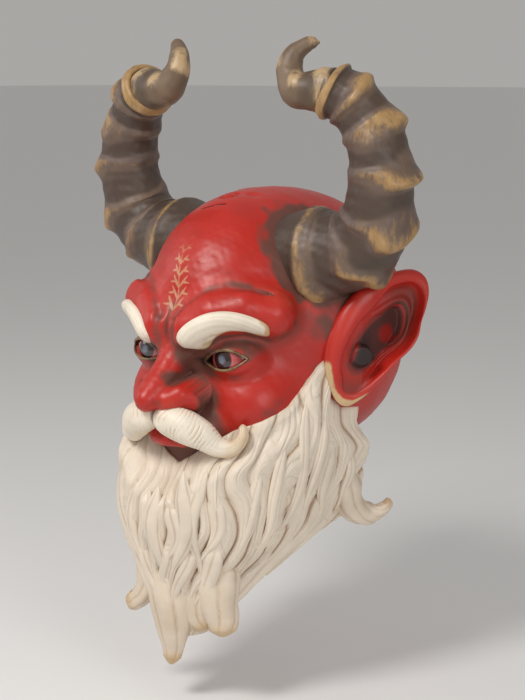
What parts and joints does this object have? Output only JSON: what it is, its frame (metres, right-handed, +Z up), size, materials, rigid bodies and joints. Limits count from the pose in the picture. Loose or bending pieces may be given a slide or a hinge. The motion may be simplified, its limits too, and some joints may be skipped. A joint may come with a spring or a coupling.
{
  "type": "carved folk mask",
  "caption": "Hollow carved and painted wooden devil mask with ringed curling horns, pointed ears, glass eyes and a long carved beard, hung by a ring on a batten inside.",
  "frame": {"origin": "on the flat back rim, at the middle of its top, where it rests on the wall", "axes": "+Y into the wall, so the face looks along -Y; +Z up; +X to the mask's own left"},
  "size_m": [0.2602, 0.1606, 0.3837],
  "materials": {
    "red_paint": "gloss red paint over gesso, with dark patina rubbed into the creases",
    "horn_paint": "grey-brown paint, with gold rubbed on the ridges",
    "ivory_paint": "ivory paint with brown glaze in the grooves",
    "eye_glass": "polished, painted from behind",
    "bare_wood": "bare",
    "zinc_steel": "zinc plated"
  },
  "bodies": {
    "mask": {"face_shell": "red_paint", "eye_left": "eye_glass", "eye_plug_left": "bare_wood", "horn_left": "horn_paint", "horn_tip_left": "horn_paint", "horn_dowel_left": "bare_wood", "tip_dowel_left": "bare_wood", "ear_left": "red_paint", "ear_dowel_left": "bare_wood", "brow_left": "ivory_paint", "moustache_left": "ivory_paint", "beard_left": "ivory_paint", "chin_dowel_left": "bare_wood", "jaw_dowel_left": "bare_wood", "batten_screw_left": "zinc_steel", "eye_right": "eye_glass", "eye_plug_right": "bare_wood", "horn_right": "horn_paint", "horn_tip_right": "horn_paint", "horn_dowel_right": "bare_wood", "tip_dowel_right": "bare_wood", "ear_right": "red_paint", "ear_dowel_right": "bare_wood", "brow_right": "ivory_paint", "moustache_right": "ivory_paint", "beard_right": "ivory_paint", "chin_dowel_right": "bare_wood", "jaw_dowel_right": "bare_wood", "batten_screw_right": "zinc_steel", "beard_middle": "ivory_paint", "hanger_batten": "bare_wood", "hanger_strap": "zinc_steel", "hanger_screw": "zinc_steel"},
    "ring": {"hanger_ring": "zinc_steel"}
  },
  "joints": [
    {"name": "ring_swing", "type": "hinge", "parent": "mask", "child": "ring", "pos_m": [0, -0.0049, -0.035], "axis": [1, 0, 0], "range_deg": [-175, 90]}
  ]
}
